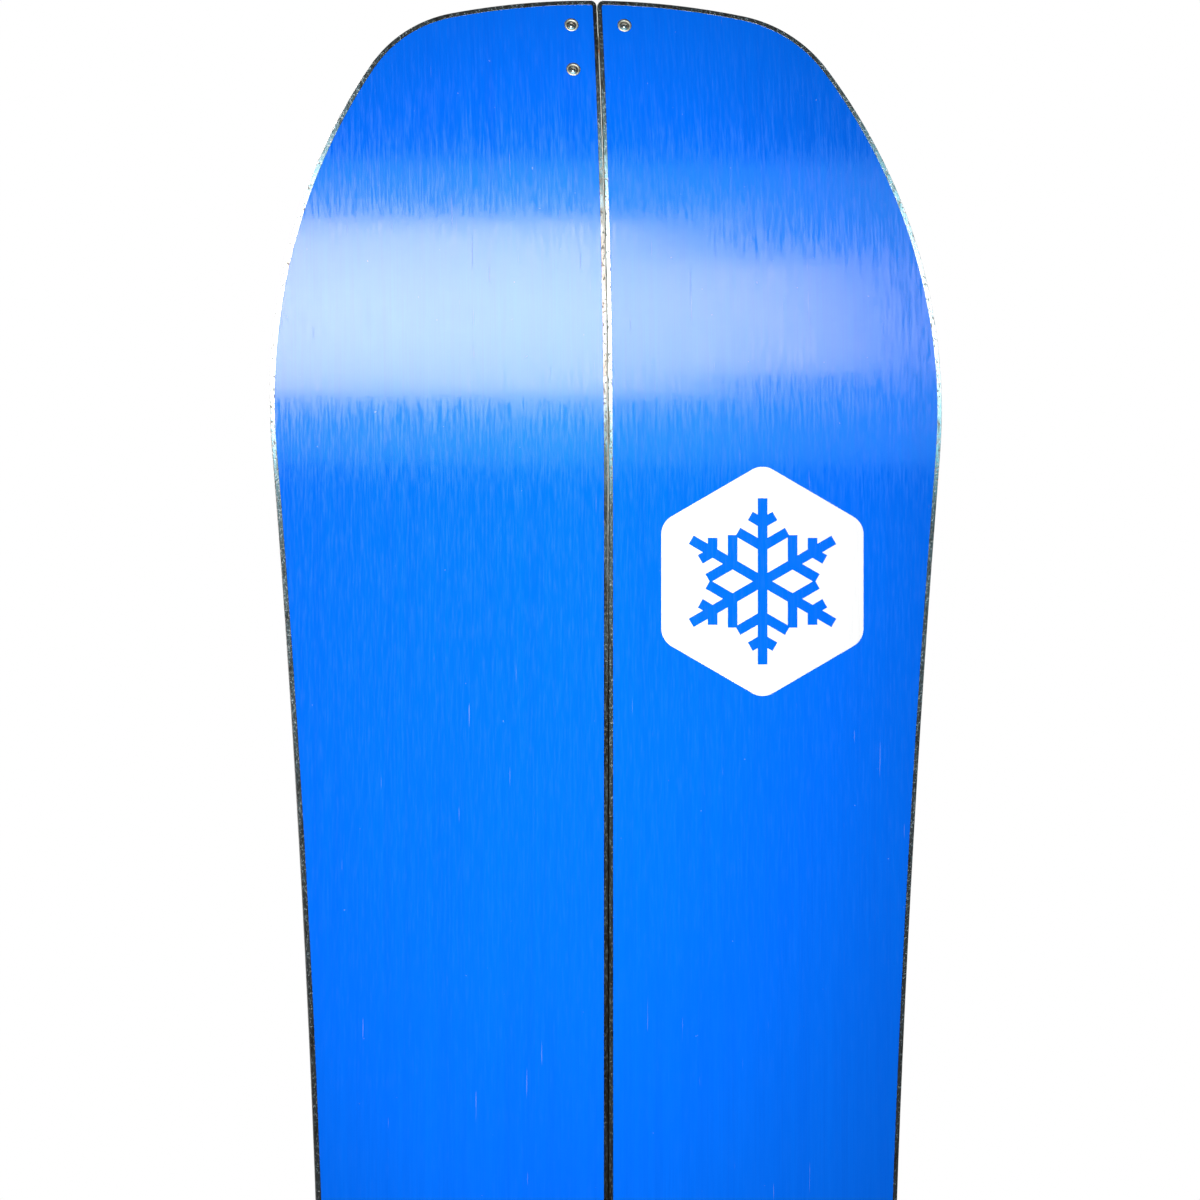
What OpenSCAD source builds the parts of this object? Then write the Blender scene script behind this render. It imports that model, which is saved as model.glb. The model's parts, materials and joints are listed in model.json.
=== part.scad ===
// Splitboard: a snowboard that parts along its centre line into two touring skis.
// It lies on its base, as on snow: +Z is out of the top sheet, the nose points to -Y and the tail to +Y.
// Left (-X) and right (+X) are the sides seen when facing the base with the nose up.

/* [Board] */
// Overall length, tail tip to nose tip
board_len = 1560; // [1520:5:1620]
// Width at the widest point of the nose
nose_w = 300; // [296:1:304]
// Width at the widest point of the tail
tail_w = 296; // [292:1:300]
// Width at the narrowest point, between the feet
waist_w = 250; // [244:1:256]
// Distance of the waist from the tail tip
waist_s = 767.5; // [755:2.5:780]

/* [Nose and tail] */
// Distance from the nose tip back to its widest point
nose_len = 182.5; // [178:0.5:188]
// Distance from the tail tip up to its widest point
tail_len = 174; // [168:0.5:180]
// Radius of the blunt tip arc
tip_r = 333; // [320:1:345]
// Radius of the corner arc beside the tip
corner_r = 59; // [56:0.5:62]
// Radius of the long shoulder arc
shoulder_r = 268; // [262:1:275]
// Radius of the upward bend, seen from the side
kick_r = 600; // [560:5:700]
// Length of the upward bend of the nose
nose_kick = 231; // [215:1:240]
// Length of the upward bend of the tail
tail_kick = 205; // [195:1:220]

/* [Layers] */
// Thickness of the running base
base_t = 1.3; // [1.1:0.1:1.5]
// Thickness of the lower laminate, which lies inside the steel edge
lower_t = 0.7; // [0.5:0.1:0.9]
// Thickness of the wood core between the feet
core_t = 5.4; // [5.2:0.1:6]
// Thickness of the core and its spacers in the nose and tail
tip_core_t = 1.6; // [1.4:0.1:2]
// Thickness of the upper laminate
upper_t = 0.7; // [0.5:0.1:0.9]
// Thickness of the top sheet
top_t = 0.5; // [0.4:0.1:0.6]
// Width of the steel edge seen on the base
edge_w = 2; // [1.8:0.1:2.4]
// Width of the steel edge along the seam
seam_edge_w = 1.8; // [1.6:0.1:2.2]
// Width of the sidewall
wall_w = 6; // [5:0.5:8]
// Gap between the two halves
seam_gap = 0.6; // [0.5:0.1:0.8]
// Rounding of each half's corner beside the seam
seam_corner_r = 2.6; // [2.2:0.1:3]

/* [Stance] */
// Distance between the two feet's insert packs
stance_w = 560; // [540:10:600]
// Distance of the stance's centre from the tail tip
stance_s = 760; // [750:5:770]
// Pitch of the inserts along the board
insert_pitch = 25.4; // [25:0.1:26]
// Distance of the inner insert row from the seam
insert_x = 34; // [32:1:38]
// Distance between the two insert rows
insert_row = 40; // [38:1:42]

/* [Clips] */
// Distance of every clip bolt from the seam
clip_x = 12; // [11.5:0.5:12.5]
// Distance from the tip to the middle of the clip
clip_t = 21.75; // [21:0.25:23]
// Distance between the catch's two bolts along the board
clip_pitch = 22; // [21:0.5:23]
// Radius of the threaded bush that shows in the base
bush_r = 3.1; // [3:0.1:3.3]

/* [Hidden] */

$fn = 48;
LEFT = -1;
RIGHT = 1;
NOSE = -1;
TAIL = 1;

// Depths through the board, from the base plane up
core_bottom = base_t + lower_t;
core_fill = 1;
tip_t = core_bottom + tip_core_t + upper_t + top_t;
board_t = core_bottom + core_t + upper_t + top_t;
taper_len = 150;
seam_x = seam_gap / 2;
sharp = 0.01;
arc_steps = 14;
tip_steps = 4;
corner_steps = 8;
shoulder_steps = 10;
side_steps = 8;
tip_y = board_len / 2;

// ---- Plan outline. x runs across from the seam, t runs inward from the tip ----

function arc(c, r, a0, a1, n) =
  [for (i = [0:n]) let (a = a0 + (a1 - a0) * i / n) [c.x + r * sin(a), c.y - r * cos(a)]];

// Centre of the corner arc, which touches the tip arc and the shoulder arc from inside
function corner_c(w, len) =
  let (
    to_shoulder = [w / 2 - shoulder_r, len - tip_r],
    d = norm(to_shoulder),
    e = to_shoulder / d,
    p = tip_r - corner_r,
    q = shoulder_r - corner_r,
    a = (p * p - q * q + d * d) / (2 * d),
    h = sqrt(p * p - a * a)
  )
  [0, tip_r] + a * e + h * [-e.y, e.x];

function from_second(v) = [for (i = [1:len(v) - 1]) v[i]];

function arc_angle(c_from, c_to) = atan2(c_to.x - c_from.x, c_from.y - c_to.y);

// One end of a half, from the seam round the tip and down to the waist.
// inset moves every arc inward, x0 is where the half starts, r0 rounds that corner.
function end_outline(w, len, waist_len, inset, x0, r0) =
  let (
    tip_c = [0, tip_r],
    shoulder_c = [w / 2 - shoulder_r, len],
    mid_c = corner_c(w, len),
    a_tip = arc_angle(tip_c, mid_c),
    a_corner = arc_angle(shoulder_c, mid_c),
    flare = 2 * atan((w - waist_w) / 2 / waist_len),
    s = waist_len / sin(flare),
    side_r = s - shoulder_r,
    side_c = shoulder_c + s * [cos(flare), sin(flare)],
    r_tip = tip_r - inset,
    x_start = x0 + r0,
    t_start = tip_r - sqrt(r_tip * r_tip - x_start * x_start)
  )
  concat(
    [for (a = [0:30:60]) [x_start - r0 * cos(a), t_start + r0 * (1 - sin(a))]],
    arc(tip_c, r_tip, asin(x_start / r_tip), a_tip, tip_steps),
    from_second(arc(mid_c, corner_r - inset, a_tip, a_corner, corner_steps)),
    from_second(arc(shoulder_c, shoulder_r - inset, a_corner, 90 + flare, shoulder_steps)),
    [
      for (i = [1:side_steps])
        let (a = flare * (1 - i / side_steps))
          side_c - (side_r + inset) * [cos(a), sin(a)]
    ]
  );

function half_outline(inset, x0, r0) =
  let (
    tail = end_outline(tail_w, tail_len, waist_s - tail_len, inset, x0, r0),
    nose = end_outline(nose_w, nose_len, board_len - nose_len - waist_s, inset, x0, r0),
    n = len(nose)
  )
  concat(
    [for (p = tail) [p.x, tip_y - p.y]],
    [for (i = [2:n]) [nose[n - i].x, nose[n - i].y - tip_y]]
  );

// ---- Side profile. Depth d is measured up from the base along its normal ----

function kick(end) = end == NOSE ? nose_kick : tail_kick;

// Point at depth d, an angle a into the bend of the nose or the tail
function bend_point(end, a, d) =
  [end * (tip_y - kick(end) + (kick_r - d) * sin(a)), kick_r - (kick_r - d) * cos(a)];

// A line along the board at depth d, plus the core's thickness where over_core is 1
function depth_line(d, over_core) =
  let (
    thin = d + over_core * tip_core_t,
    thick = d + over_core * core_t,
    past_tip = 3,
    a_nose = asin((nose_kick + past_tip) / (kick_r - 2 * tip_t)),
    a_tail = asin((tail_kick + past_tip) / (kick_r - 2 * tip_t))
  )
  concat(
    [for (i = [0:arc_steps]) bend_point(NOSE, a_nose * (1 - i / arc_steps), thin)],
    [[nose_kick + taper_len - tip_y, thick], [tip_y - tail_kick - taper_len, thick]],
    [for (i = [0:arc_steps]) bend_point(TAIL, a_tail * i / arc_steps, thin)]
  );

function reversed(v) = [for (i = [len(v) - 1:-1:0]) v[i]];

// ---- Building blocks ----

// Everything is drawn for the right half and mirrored for the left one
module side(which) {
  mirror([which == LEFT ? 1 : 0, 0, 0])
    children();
}

// Cutting shapes run past the board by this much
over = 10;
through_h = 80;

// A plan shape carried through the whole thickness
module through() {
  translate([0, 0, -over])
    linear_extrude(height = through_h)
      children();
}

module plan(inset, x0, r0 = 1) {
  through() polygon(half_outline(inset, x0, r0));
}

// The slab between two depth lines, following the bends
module slab(d0, core0, d1, core1) {
  translate([-over, 0, 0])
    rotate([90, 0, 90])
      linear_extrude(height = nose_w)
        polygon(concat(depth_line(d0, core0), reversed(depth_line(d1, core1))));
}

module core_slab() {
  slab(core_bottom, 0, core_bottom, core_fill);
}

// The stretch of board from y0 to y1, and from x = 0 or less out to x1
module stretch(y0, y1, x1 = nose_w) {
  translate([-over, y0, -over])
    cube([x1 + over, y1 - y0, through_h]);
}

// The flat stretch, where the wood core and the sidewalls lie; spacers fill the two bends
module between_spacers(x1 = nose_w) {
  stretch(nose_kick - tip_y, tip_y - tail_kick, x1);
}

// Frame on the top surface near a tip: x across, y inward from the tip, z out of the top sheet
module clip_frame(end) {
  a = asin((kick(end) - clip_t) / kick_r);
  r = kick_r - tip_t;
  mirror([0, end == TAIL ? 1 : 0, 0])
    translate([0, kick(end) - tip_y - r * sin(a), kick_r - r * cos(a)])
      rotate([-a, 0, 0])
        children();
}

// Frame on the flat top surface: x across, y towards the tail, z out of the top sheet
module top_frame(x, y) {
  translate([x, y, board_t])
    children();
}

// ---- Where the metal goes ----

stance_y = tip_y - stance_s;
foot_y = [stance_y - stance_w / 2, stance_y + stance_w / 2];
bracket_y = -40;
riser_y = 220;
bracket_span = 38;
bracket_x = 62;
front_hook_y = -360;
rear_hook_y = 385;
hook_screw_x = 16;
hook_screw_span = 26;

function foot_points() =
  [for (y = foot_y, i = [-1.5:1:1.5], x = [insert_x, insert_x + insert_row]) [x, y + i * insert_pitch]];
function touring_points() =
  concat(
    [for (i = [-0.5, 0.5], j = [-0.5, 0.5]) [bracket_x + i * bracket_span, bracket_y + j * bracket_span]],
    [for (i = [-0.5, 0.5]) [bracket_x + i * bracket_span, riser_y]]
  );
function hook_points() =
  [for (y = [front_hook_y, rear_hook_y], i = [-0.5, 0.5]) [hook_screw_x, y + i * hook_screw_span]];

insert_r = 4.25;
insert_bore_r = 3.05;
insert_flange_r = 8;
insert_flange_t = 1;
insert_floor_t = 0.5;
insert_len = core_t + upper_t + top_t;

module insert_body() {
  translate([0, 0, -insert_len]) cylinder(r = insert_r, h = insert_len);
  translate([0, 0, -insert_len]) cylinder(r = insert_flange_r, h = insert_flange_t);
}

module inserts(points) {
  for (p = points) {
    top_frame(p.x, p.y)
      difference() {
        insert_body();
        translate([0, 0, insert_floor_t - insert_len]) cylinder(r = insert_bore_r, h = insert_len);
      }
  }
}

module insert_holes() {
  for (p = concat(foot_points(), touring_points(), hook_points())) {
    top_frame(p.x, p.y) insert_body();
  }
}

// The catch half carries two bolts at each end, the lever half carries one
function clip_rows(which) = which == LEFT ? [-0.5, 0.5] : [-0.5];

module clip_points(which) {
  for (end = [NOSE, TAIL], row = clip_rows(which)) {
    clip_frame(end) translate([clip_x, row * clip_pitch, 0]) children();
  }
}

module clip_holes(which) {
  clip_points(which) translate([0, 0, -over]) cylinder(r = bush_r, h = 2 * over);
}

// ---- The layers of one half, from the base up ----

emblem_x = 69;
emblem_y = 262 - tip_y;
emblem_r = 51;
emblem_corner_r = 9;
crystal_arm = 37;
crystal_w = 4.4;
crystal_tip = 0.98;
twig_ratio = 0.62;

// A six-armed snow crystal
module crystal_shape() {
  for (a = [0:60:300]) {
    rotate(a) {
      translate([0, -crystal_w / 2]) square([crystal_arm, crystal_w]);
      for (s = [-1, 1], at = [0.42, 0.7]) {
        translate([crystal_arm * at, 0])
          rotate(s * 60)
            translate([0, -crystal_w / 2])
              square([crystal_arm * (crystal_tip - at) * twig_ratio, crystal_w]);
      }
    }
  }
}

// A hexagon with rounded corners
module hexagon_shape() {
  corner_at = emblem_r - emblem_corner_r;
  polygon([
    for (k = [0:5], i = [-2:2])
      let (a = k * 60 + i * 15)
        corner_at * [cos(k * 60), sin(k * 60)] + emblem_corner_r * [cos(a), sin(a)]
  ]);
}

module inlay_shape() {
  translate([emblem_x, emblem_y])
    difference() {
      rotate(30) hexagon_shape();
      rotate(30) crystal_shape();
    }
}

module base_sheet(which) {
  color("royalblue") side(which)
    difference() {
      intersection() {
        plan(edge_w, seam_x + seam_edge_w);
        slab(0, 0, base_t, 0);
      }
      clip_holes(which);
      if (which == RIGHT) through() inlay_shape();
    }
}

module base_inlay() {
  color("white") side(RIGHT)
    intersection() {
      through() inlay_shape();
      slab(0, 0, base_t, 0);
    }
}

module outer_edge(which) {
  color("silver") side(which)
    intersection() {
      difference() {
        plan(0, seam_x + seam_edge_w, sharp);
        plan(edge_w, 0, sharp);
      }
      slab(0, 0, core_bottom, 0);
    }
}

module inner_edge(which) {
  color("dimgray") side(which)
    intersection() {
      plan(0, seam_x, seam_corner_r);
      slab(0, 0, core_bottom, 0);
      stretch(-board_len, board_len, seam_x + seam_edge_w);
    }
}

module lower_laminate(which) {
  color("lightyellow") side(which)
    difference() {
      intersection() {
        plan(edge_w, seam_x + seam_edge_w);
        slab(base_t, 0, core_bottom, 0);
      }
      clip_holes(which);
    }
}

module wood_core(which) {
  color("burlywood") side(which)
    difference() {
      intersection() {
        plan(wall_w, seam_x + wall_w);
        core_slab();
        between_spacers();
      }
      insert_holes();
    }
}

module tip_spacer(which, end) {
  color("dimgray") side(which)
    difference() {
      intersection() {
        plan(0, seam_x, seam_corner_r);
        core_slab();
        if (end == NOSE) stretch(-board_len, nose_kick - tip_y);
        if (end == TAIL) stretch(tip_y - tail_kick, board_len);
      }
      clip_holes(which);
    }
}

module outer_sidewall(which) {
  color("#202226") side(which)
    intersection() {
      difference() {
        plan(0, seam_x + wall_w);
        plan(wall_w, 0);
      }
      core_slab();
      between_spacers();
    }
}

module inner_sidewall(which) {
  color("#202226") side(which)
    intersection() {
      plan(0, seam_x);
      core_slab();
      between_spacers(seam_x + wall_w);
    }
}

module upper_laminate(which) {
  color("khaki") side(which)
    difference() {
      intersection() {
        plan(0, seam_x, seam_corner_r);
        slab(core_bottom, core_fill, core_bottom + upper_t, core_fill);
      }
      clip_holes(which);
      insert_holes();
    }
}

module top_sheet(which) {
  color("#2b3440") side(which)
    difference() {
      intersection() {
        plan(0, seam_x, seam_corner_r);
        slab(core_bottom + upper_t, core_fill, core_bottom + upper_t + top_t, core_fill);
      }
      clip_holes(which);
      insert_holes();
    }
}

// ---- Nose and tail clips ----

bolt_r = 1.9;
bolt_head_r = 4;
thread_play = 0.05;
catch_bolt_play = 0.2;
foot_gap = 0.3;
catch_w = 16;
catch_len = 37;
catch_top = 2.2;
stud_neck_r = 3;
stud_cap_r = 4.6;
stud_cap_t = 1.3;
stud_root = 0.5;
catch_corner_r = 4;
lever_z = 2.6;
lever_t = 3;
lever_w = 6.4;
lever_head_r = 6.6;
lever_bore_r = 3.05;
lever_mouth = 8;
rib_x = 9;
rib_pitch = 2.6;
rib_w = 1.2;
rib_len = 4.8;
rib_h = 0.6;
pivot_r = 3;
pivot_head_r = 5.2;
pivot_crown_r = 4.2;
pivot_head_t = 1.8;
pivot_bevel = 0.8;
slide_play = 0.1;
play = 0.3;
bush_recess = 0.15;
bolt_recess = 0.8;
lever_reach = norm([2 * clip_x, clip_pitch / 2]);
lever_angle = atan2(clip_pitch / 2, -2 * clip_x);

module clip_bushes(which) {
  color("gainsboro") side(which)
    clip_points(which)
      difference() {
        translate([0, 0, bush_recess - tip_t]) cylinder(r = bush_r, h = tip_t - bush_recess);
        translate([0, 0, -over]) cylinder(r = bolt_r + thread_play, h = 2 * over);
      }
}

module catch(end) {
  stud_base = catch_top - stud_root;
  neck_top = lever_z + lever_t + play;
  color("#30343a") side(LEFT)
    clip_frame(end)
      translate([clip_x, 0, 0])
        difference() {
          union() {
            translate([0, 0, foot_gap])
              linear_extrude(height = catch_top - foot_gap) rounded(catch_w, catch_len, catch_corner_r);
            translate([0, 0, stud_base]) cylinder(r = stud_neck_r, h = neck_top - stud_base);
            translate([0, 0, neck_top]) cylinder(r = stud_cap_r, h = stud_cap_t);
          }
          for (s = [-0.5, 0.5]) {
            translate([0, s * clip_pitch, 0])
              screw(-over, catch_top, bolt_r + catch_bolt_play, bolt_head_r + slide_play);
          }
        }
}

// Countersunk screw whose flat head is flush with z = top and whose end is at z = bottom
module screw(bottom, top, r, head_r) {
  cone = head_r - r;
  rotate_extrude()
    polygon([[0, bottom], [r, bottom], [r, top - cone], [head_r, top], [0, top]]);
}

module catch_screws() {
  color("silver") side(LEFT)
    clip_points(LEFT) screw(bolt_recess - tip_t, catch_top, bolt_r, bolt_head_r);
}

module rounded(w, len, r) {
  union() {
    square([w - 2 * r, len], center = true);
    square([w, len - 2 * r], center = true);
    for (x = [-1, 1], y = [-1, 1]) {
      translate([x * (w / 2 - r), y * (len / 2 - r)]) circle(r = r);
    }
  }
}

// Lever, drawn about its pivot with its arm along +x; the hook opens towards +y
module lever_shape() {
  difference() {
    union() {
      circle(r = lever_head_r);
      translate([0, -lever_w / 2]) square([lever_reach, lever_w]);
      translate([lever_reach, 0]) circle(r = lever_head_r);
    }
    circle(r = lever_bore_r);
    translate([lever_reach, 0]) circle(r = stud_neck_r + play);
    intersection() {
      difference() {
        circle(r = lever_reach + stud_neck_r + play);
        circle(r = lever_reach - stud_neck_r - play);
      }
      translate([lever_reach - lever_mouth, 0]) square([2 * lever_mouth, 1.5 * lever_mouth]);
    }
  }
}

module lever_in_place(end) {
  clip_frame(end)
    translate([clip_x, -clip_pitch / 2, lever_z])
      children();
}

module lever(end) {
  color("#c8501e") side(RIGHT)
    lever_in_place(end)
      rotate(lever_angle)
        union() {
          linear_extrude(height = lever_t) lever_shape();
          for (i = [0:2]) {
            translate([rib_x + i * rib_pitch, -rib_len / 2, lever_t]) cube([rib_w, rib_len, rib_h]);
          }
        }
}

module pivot_screw(end) {
  head_z = lever_t + slide_play;
  color("silver") side(RIGHT)
    lever_in_place(end)
      rotate_extrude()
        polygon([
          [0, bolt_recess - lever_z - tip_t],
          [bolt_r, bolt_recess - lever_z - tip_t],
          [bolt_r, -lever_z + foot_gap],
          [pivot_r, -lever_z + foot_gap],
          [pivot_r, head_z],
          [pivot_head_r, head_z],
          [pivot_head_r, head_z + pivot_head_t - pivot_bevel],
          [pivot_crown_r, head_z + pivot_head_t],
          [0, head_z + pivot_head_t]
        ]);
}

module pivot_washers() {
  color("white") side(RIGHT)
    for (end = [NOSE, TAIL]) {
      clip_frame(end)
        translate([clip_x, -clip_pitch / 2, foot_gap])
          difference() {
            cylinder(r = lever_head_r, h = lever_z - slide_play - foot_gap);
            translate([0, 0, -over]) cylinder(r = pivot_r, h = 2 * over);
          }
    }
}

// ---- Interlocking seam hooks ----

hook_t = 2;
hook_len = 44;
hook_in = 4;
hook_out = 24;
finger_reach = 9;
finger_w = 7;
finger_y = [3, -19];
finger_gap = 0.4;
finger_root = 7;
hook_corner_r = 2.5;
hook_screw_r = 2.9;
hook_screw_head_r = 4.8;
hook_screw_len = 5;

// Plate of the right half, with two fingers that reach over the seam onto the left half
module hook_shape() {
  difference() {
    translate([(hook_in + hook_out) / 2, 0]) rounded(hook_out - hook_in, hook_len, hook_corner_r);
    for (y = finger_y) {
      translate([0, -y - finger_w - finger_gap])
        square([finger_reach + finger_gap, finger_w + 2 * finger_gap]);
    }
  }
}

module hook(y) {
  color("silver")
    top_frame(0, y)
      difference() {
        union() {
          linear_extrude(height = hook_t) hook_shape();
          for (finger = finger_y) {
            translate([-finger_reach, finger, foot_gap])
              cube([finger_reach + finger_root, finger_w, hook_t - foot_gap]);
          }
        }
        for (s = [-0.5, 0.5]) {
          translate([hook_screw_x, s * hook_screw_span, 0])
            screw(-over, hook_t, hook_screw_r + play, hook_screw_head_r + slide_play);
        }
      }
}

module right_hook(y) {
  hook(y);
}

// The left plate is the same stamping turned half a turn about the board's normal
module left_hook(y) {
  translate([0, 2 * y, 0]) rotate(180) hook(y);
}

module hook_screws(which) {
  color("dimgray") side(which)
    for (p = hook_points()) {
      top_frame(p.x, p.y) screw(-hook_screw_len, hook_t, hook_screw_r, hook_screw_head_r);
    }
}

base_sheet(LEFT);  // left_base_sheet
base_sheet(RIGHT);  // right_base_sheet
base_inlay();
outer_edge(LEFT);  // left_outer_edge
outer_edge(RIGHT);  // right_outer_edge
inner_edge(LEFT);  // left_inner_edge
inner_edge(RIGHT);  // right_inner_edge
lower_laminate(LEFT);  // left_lower_laminate
lower_laminate(RIGHT);  // right_lower_laminate
wood_core(LEFT);  // left_wood_core
wood_core(RIGHT);  // right_wood_core
tip_spacer(LEFT, NOSE);  // left_nose_spacer
tip_spacer(RIGHT, NOSE);  // right_nose_spacer
tip_spacer(LEFT, TAIL);  // left_tail_spacer
tip_spacer(RIGHT, TAIL);  // right_tail_spacer
outer_sidewall(LEFT);  // left_outer_sidewall
outer_sidewall(RIGHT);  // right_outer_sidewall
inner_sidewall(LEFT);  // left_inner_sidewall
inner_sidewall(RIGHT);  // right_inner_sidewall
upper_laminate(LEFT);  // left_upper_laminate
upper_laminate(RIGHT);  // right_upper_laminate
top_sheet(LEFT);  // left_top_sheet
top_sheet(RIGHT);  // right_top_sheet
color("silver") side(LEFT) inserts(foot_points());  // left_binding_inserts
color("silver") side(RIGHT) inserts(foot_points());  // right_binding_inserts
color("silver") side(LEFT) inserts(touring_points());  // left_touring_inserts
color("silver") side(RIGHT) inserts(touring_points());  // right_touring_inserts
color("silver") side(LEFT) inserts(hook_points());  // left_hook_inserts
color("silver") side(RIGHT) inserts(hook_points());  // right_hook_inserts
clip_bushes(LEFT);  // left_clip_bushes
clip_bushes(RIGHT);  // right_clip_bushes
catch(NOSE);  // nose_catch
catch(TAIL);  // tail_catch
catch_screws();
lever(NOSE);  // nose_lever
lever(TAIL);  // tail_lever
pivot_screw(NOSE);  // nose_pivot_screw
pivot_screw(TAIL);  // tail_pivot_screw
pivot_washers();
left_hook(front_hook_y);  // front_left_hook
right_hook(front_hook_y);  // front_right_hook
left_hook(rear_hook_y);  // rear_left_hook
right_hook(rear_hook_y);  // rear_right_hook
hook_screws(LEFT);  // left_hook_screws
hook_screws(RIGHT);  // right_hook_screws
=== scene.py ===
"""The splitboard's looks: smooth skins, ground edges, detailed hardware, and its studio."""

import json
import math

import bpy
import numpy as np
from mathutils import Matrix, Vector
from mathutils.geometry import delaunay_2d_cdt


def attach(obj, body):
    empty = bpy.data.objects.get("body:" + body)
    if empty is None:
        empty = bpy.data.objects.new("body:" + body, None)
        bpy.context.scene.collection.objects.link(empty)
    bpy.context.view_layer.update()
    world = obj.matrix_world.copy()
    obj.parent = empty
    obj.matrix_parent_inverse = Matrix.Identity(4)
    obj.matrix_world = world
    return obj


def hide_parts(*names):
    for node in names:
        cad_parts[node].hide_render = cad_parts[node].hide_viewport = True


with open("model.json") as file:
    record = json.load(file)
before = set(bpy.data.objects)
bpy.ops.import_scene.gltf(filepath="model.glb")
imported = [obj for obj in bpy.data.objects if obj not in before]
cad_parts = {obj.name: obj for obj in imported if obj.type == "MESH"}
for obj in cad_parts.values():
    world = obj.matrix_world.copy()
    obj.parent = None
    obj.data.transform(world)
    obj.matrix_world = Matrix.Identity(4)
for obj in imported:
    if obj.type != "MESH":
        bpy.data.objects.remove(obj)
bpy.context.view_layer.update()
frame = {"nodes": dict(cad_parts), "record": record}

# ---- The board's own dimensions, in millimetres, as in the CAD source ----

MM = 0.001
BOARD_LEN = 1560
NOSE_W, TAIL_W, WAIST_W = 300, 296, 250
WAIST_S = 767.5
NOSE_LEN, TAIL_LEN = 182.5, 174
TIP_R, CORNER_R, SHOULDER_R = 333, 59, 268
KICK_R = 600
NOSE_KICK, TAIL_KICK = 231, 205
BASE_T, LOWER_T, CORE_T, TIP_CORE_T, UPPER_T, TOP_T = 1.3, 0.7, 5.4, 1.6, 0.7, 0.5
EDGE_W, SEAM_EDGE_W, WALL_W = 2, 1.8, 6
SEAM_X = 0.3
SEAM_CORNER_R = 2.6
TAPER_LEN = 150
CLIP_FROM_TIP = 21.75
TIP_Y = BOARD_LEN / 2
CORE_BOTTOM = BASE_T + LOWER_T
TIP_T = CORE_BOTTOM + TIP_CORE_T + UPPER_T + TOP_T
BOARD_T = CORE_BOTTOM + CORE_T + UPPER_T + TOP_T
NOSE, TAIL = -1, 1
LEFT, RIGHT = -1, 1
SIDES = {"left": LEFT, "right": RIGHT}

# Depth of a layer's surface above the base, and whether the core's thickness is added to it
BASE_FACE = (0, 0)
BASE_TOP = (BASE_T, 0)
CORE_FLOOR = (CORE_BOTTOM, 0)
CORE_TOP = (CORE_BOTTOM, 1)
LAMINATE_TOP = (CORE_BOTTOM + UPPER_T, 1)
BOARD_TOP = (CORE_BOTTOM + UPPER_T + TOP_T, 1)


# ---- The board's shape ----

# Steps along each arc of an end's outline
SEAM_CORNER_STEPS, TIP_STEPS, CORNER_STEPS, SHOULDER_STEPS, SIDE_STEPS = 6, 12, 16, 30, 24
# Longest segment round a plate, and the distance within which two points are one, in millimetres
LONGEST_SEGMENT = 7
SAME_POINT = 1e-6


def polar(degrees):
    """Unit vector that many degrees round from +x."""
    a = math.radians(degrees)
    return np.array([math.cos(a), math.sin(a)])


def arc(centre, r, a0, a1, n):
    """Points on an arc; an angle of 0 points to the tip and 90 away from the seam."""
    return [np.array(centre) + r * polar(a - 90) for a in np.linspace(a0, a1, n + 1)]


def corner_centre(w, length):
    """Centre of the corner arc, which touches the tip arc and the shoulder arc from inside."""
    to_shoulder = np.array([w / 2 - SHOULDER_R, length - TIP_R])
    d = np.linalg.norm(to_shoulder)
    e = to_shoulder / d
    p, q = TIP_R - CORNER_R, SHOULDER_R - CORNER_R
    a = (p * p - q * q + d * d) / (2 * d)
    return np.array([0, TIP_R]) + a * e + math.sqrt(p * p - a * a) * np.array([-e[1], e[0]])


def arc_angle(c_from, c_to):
    """Angle, in arc's own sense, from one arc's centre towards another's."""
    return math.degrees(math.atan2(c_to[0] - c_from[0], c_from[1] - c_to[1]))


def end_outline(w, length, waist_len, inset, x0, r0):
    """(x, distance from the tip) along one end of a half, from the seam round to the waist."""
    tip_c, mid_c = (0, TIP_R), corner_centre(w, length)
    shoulder_c = (w / 2 - SHOULDER_R, length)
    a_tip, a_corner = arc_angle(tip_c, mid_c), arc_angle(shoulder_c, mid_c)
    flare = 2 * math.degrees(math.atan((w - WAIST_W) / 2 / waist_len))
    s = waist_len / math.sin(math.radians(flare))
    side_c = np.array(shoulder_c) + s * polar(flare)
    r_tip = TIP_R - inset
    x_start = x0 + r0
    t_start = TIP_R - math.sqrt(r_tip**2 - x_start**2)
    seam_turn = np.linspace(0, 90, SEAM_CORNER_STEPS + 1)[:-1]
    seam_corner = [np.array([x_start, t_start + r0]) - r0 * polar(a) for a in seam_turn]
    return np.array(
        seam_corner
        + arc(tip_c, r_tip, math.degrees(math.asin(x_start / r_tip)), a_tip, TIP_STEPS)
        + arc(mid_c, CORNER_R - inset, a_tip, a_corner, CORNER_STEPS)[1:]
        + arc(shoulder_c, SHOULDER_R - inset, a_corner, 90 + flare, SHOULDER_STEPS)[1:]
        + [side_c - (s - SHOULDER_R + inset) * polar(flare * (1 - i / SIDE_STEPS))
           for i in range(1, SIDE_STEPS + 1)]
    )


def half_path(inset=0.0, x0=SEAM_X, r0=SEAM_CORNER_R):
    """(x, y) round a half's outside, from the seam at the tail to the seam at the nose."""
    tail = end_outline(TAIL_W, TAIL_LEN, WAIST_S - TAIL_LEN, inset, x0, r0)
    nose = end_outline(NOSE_W, NOSE_LEN, BOARD_LEN - NOSE_LEN - WAIST_S, inset, x0, r0)
    tail[:, 1] = TIP_Y - tail[:, 1]
    nose[:, 1] = nose[:, 1] - TIP_Y
    return np.concatenate([tail, nose[-2::-1]])


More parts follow.
